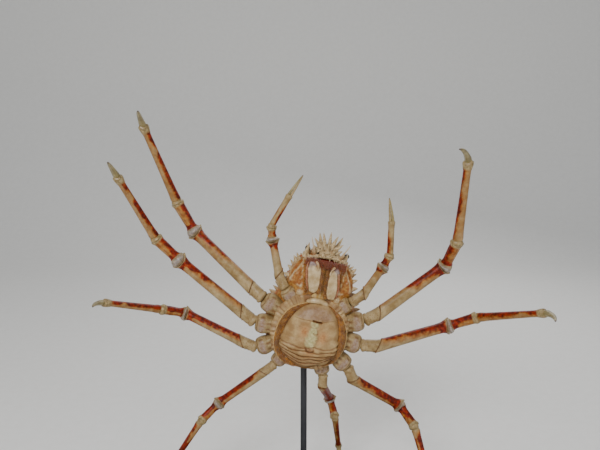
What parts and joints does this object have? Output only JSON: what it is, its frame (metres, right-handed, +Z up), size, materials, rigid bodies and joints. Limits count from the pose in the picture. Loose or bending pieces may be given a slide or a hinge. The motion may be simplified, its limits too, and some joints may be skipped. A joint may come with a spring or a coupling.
{
  "type": "japanese spider crab",
  "caption": "Life-size grown female spider crab, upright with its belly to the front and its long legs spread, on a flat stand with a rod.",
  "frame": {"origin": "middle of the stand base's underside", "axes": "+Z up, the crab's belly faces -Y, +X is to the viewer's right, which is the crab's left"},
  "size_m": [0.8477, 0.3107, 0.8351],
  "materials": {
    "shell_cream": "warm cream crab shell of the belly and legs, with orange-red patches towards the joints, satin",
    "shell_pale": "pale horn-coloured shell of the leg tips, feelers and mouthparts, satin",
    "shell_orange": "orange-red shell of the back with pale spines, satin",
    "eye_black": "glossy black eye",
    "stand_charcoal": "board and steel rod under one satin charcoal lacquer"
  },
  "bodies": {
    "root": {"claw_leg_right_hip": "shell_cream", "claw_leg_right_merus": "shell_cream", "claw_leg_right_carpus": "shell_cream", "claw_leg_right_propodus": "shell_cream", "claw_leg_right_dactyl": "shell_pale", "claw_leg_left_hip": "shell_cream", "claw_leg_left_merus": "shell_cream", "claw_leg_left_carpus": "shell_cream", "claw_leg_left_propodus": "shell_cream", "claw_leg_left_dactyl": "shell_pale", "leg_1_right_hip": "shell_cream", "leg_1_right_merus": "shell_cream", "leg_1_right_carpus": "shell_cream", "leg_1_right_propodus": "shell_cream", "leg_1_right_dactyl": "shell_pale", "leg_1_left_hip": "shell_cream", "leg_1_left_merus": "shell_cream", "leg_1_left_carpus": "shell_cream", "leg_1_left_propodus": "shell_cream", "leg_1_left_dactyl": "shell_pale", "leg_2_right_hip": "shell_cream", "leg_2_right_merus": "shell_cream", "leg_2_right_carpus": "shell_cream", "leg_2_right_propodus": "shell_cream", "leg_2_right_dactyl": "shell_pale", "leg_2_left_hip": "shell_cream", "leg_2_left_merus": "shell_cream", "leg_2_left_carpus": "shell_cream", "leg_2_left_propodus": "shell_cream", "leg_2_left_dactyl": "shell_pale", "leg_3_right_hip": "shell_cream", "leg_3_right_merus": "shell_cream", "leg_3_right_carpus": "shell_cream", "leg_3_right_propodus": "shell_cream", "leg_3_right_dactyl": "shell_pale", "leg_3_left_hip": "shell_cream", "leg_3_left_merus": "shell_cream", "leg_3_left_carpus": "shell_cream", "leg_3_left_propodus": "shell_cream", "leg_3_left_dactyl": "shell_pale", "leg_4_right_hip": "shell_cream", "leg_4_right_merus": "shell_cream", "leg_4_right_carpus": "shell_cream", "leg_4_right_propodus": "shell_cream", "leg_4_right_dactyl": "shell_pale", "leg_4_left_hip": "shell_cream", "leg_4_left_merus": "shell_cream", "leg_4_left_carpus": "shell_cream", "leg_4_left_propodus": "shell_cream", "leg_4_left_dactyl": "shell_pale", "carapace": "shell_orange", "sternum": "shell_cream", "abdomen": "shell_cream", "maxilliped_right": "shell_pale", "maxilliped_left": "shell_pale", "antenna_right": "shell_pale", "antenna_left": "shell_pale", "eye_right": "eye_black", "eye_left": "eye_black", "stand_base": "stand_charcoal"}
  },
  "joints": []
}
